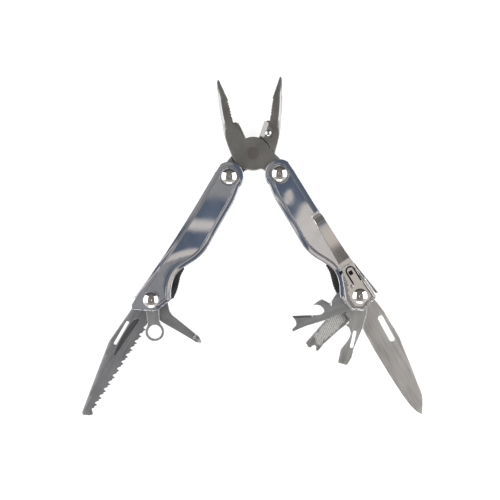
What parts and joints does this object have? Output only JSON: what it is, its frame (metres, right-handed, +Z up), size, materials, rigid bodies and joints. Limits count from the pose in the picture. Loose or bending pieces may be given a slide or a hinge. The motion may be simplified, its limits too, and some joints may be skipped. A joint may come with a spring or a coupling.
{
  "type": "multi tool",
  "caption": "Opened pliers multi tool: toothed jaws, two polished plate handles, and fold-out blades and drivers with a pocket clip.",
  "frame": {"origin": "on the table, under the middle of the box of the tool laid open", "axes": "+Z up from the table out of the clip side, +Y towards the jaws, +X to the clip handle's side"},
  "size_m": [0.206, 0.2043, 0.0177],
  "materials": {
    "jaw_steel": "satin grey, forged and tumbled",
    "cutter_steel": "ground bright",
    "polished_plate": "mirror polished stainless sheet",
    "rivet_steel": "polished domes",
    "clip_steel": "polished spring steel",
    "inner_steel": "plain mill finish",
    "blade_steel": "fine satin brushing across the blade",
    "tool_steel": "satin with worn edges",
    "grip_plastic": "black ridged nylon"
  },
  "bodies": {
    "front_jaw": {"front_jaw": "jaw_steel", "front_wire_cutter": "cutter_steel", "front_cutter_screw": "rivet_steel", "main_pivot_rivet": "jaw_steel"},
    "rear_jaw": {"rear_jaw": "jaw_steel", "rear_wire_cutter": "cutter_steel", "rear_cutter_screw": "rivet_steel"},
    "left_handle": {"left_front_plate": "polished_plate", "left_rear_plate": "polished_plate", "left_handle_rivet": "rivet_steel", "left_handle_washers": "inner_steel", "left_tool_rivet": "rivet_steel", "left_liner": "inner_steel", "left_grip_insert": "grip_plastic", "left_tool_spacers": "inner_steel", "left_lock_pin": "inner_steel"},
    "right_handle": {"right_front_plate": "polished_plate", "right_rear_plate": "polished_plate", "right_handle_rivet": "rivet_steel", "right_handle_washers": "inner_steel", "right_tool_rivet": "rivet_steel", "right_liner": "inner_steel", "right_grip_insert": "grip_plastic", "right_tool_spacers": "inner_steel", "right_lock_pin": "inner_steel", "clip_base": "clip_steel"},
    "left_lock_lever": {"left_lock_lever": "clip_steel"},
    "right_lock_lever": {"right_lock_lever": "clip_steel"},
    "clip_arm": {"clip_arm": "clip_steel"},
    "saw": {"saw": "tool_steel"},
    "lanyard_ring": {"lanyard_ring": "tool_steel"},
    "phillips_driver": {"phillips_driver": "tool_steel"},
    "knife_blade": {"knife_blade": "blade_steel"},
    "flat_screwdriver": {"flat_screwdriver": "tool_steel"},
    "file": {"file": "tool_steel"},
    "bottle_opener": {"bottle_opener": "tool_steel"}
  },
  "joints": [
    {"name": "jaw_pivot", "type": "hinge", "parent": "front_jaw", "child": "rear_jaw", "pos_m": [0.0009, 0.0554, 0.0084], "axis": [0, 0, 1], "range_deg": [0, 43.3]},
    {"name": "left_handle_fold", "type": "hinge", "parent": "rear_jaw", "child": "left_handle", "pos_m": [-0.01354, 0.04156, 0.0084], "axis": [0, 0, -1], "range_deg": [-4.9, 166.4]},
    {"name": "right_handle_fold", "type": "hinge", "parent": "front_jaw", "child": "right_handle", "pos_m": [0.01668, 0.04311, 0.0084], "axis": [0, 0, 1], "range_deg": [0, 169.5]},
    {"name": "saw_fold", "type": "hinge", "parent": "left_handle", "child": "saw", "pos_m": [-0.06029, -0.0324, 0.0084], "axis": [0, 0, 1], "range_deg": [-2, 178]},
    {"name": "ring_fold", "type": "hinge", "parent": "left_handle", "child": "lanyard_ring", "pos_m": [-0.06029, -0.0324, 0.0084], "axis": [0, 0, 1], "range_deg": [-39, 141]},
    {"name": "phillips_fold", "type": "hinge", "parent": "left_handle", "child": "phillips_driver", "pos_m": [-0.06029, -0.0324, 0.0084], "axis": [0, 0, 1], "range_deg": [-82.4, 97.6]},
    {"name": "knife_fold", "type": "hinge", "parent": "right_handle", "child": "knife_blade", "pos_m": [0.06472, -0.03002, 0.0084], "axis": [0, 0, -1], "range_deg": [-5, 175]},
    {"name": "opener_fold", "type": "hinge", "parent": "right_handle", "child": "bottle_opener", "pos_m": [0.06472, -0.03002, 0.0084], "axis": [0, 0, -1], "range_deg": [-99.3, 76.7]},
    {"name": "file_fold", "type": "hinge", "parent": "right_handle", "child": "file", "pos_m": [0.06472, -0.03002, 0.0084], "axis": [0, 0, -1], "range_deg": [-76, 99.5]},
    {"name": "screwdriver_fold", "type": "hinge", "parent": "right_handle", "child": "flat_screwdriver", "pos_m": [0.06472, -0.03002, 0.0084], "axis": [0, 0, -1], "range_deg": [-45.6, 130.4]},
    {"name": "left_lock_press", "type": "hinge", "parent": "left_handle", "child": "left_lock_lever", "pos_m": [-0.05704, -0.01435, 0.0084], "axis": [0, 0, 1], "range_deg": [0, 2.5], "stiffness_Nm_per_rad": 0.3},
    {"name": "right_lock_press", "type": "hinge", "parent": "right_handle", "child": "right_lock_lever", "pos_m": [0.06116, -0.01202, 0.0084], "axis": [0, 0, -1], "range_deg": [0, 6], "stiffness_Nm_per_rad": 0.3},
    {"name": "clip_flex", "type": "hinge", "parent": "right_handle", "child": "clip_arm", "pos_m": [0.05671, -0.01137, 0.01612], "axis": [0.8545, 0.5195, 0], "range_deg": [0, 3], "stiffness_Nm_per_rad": 1}
  ]
}
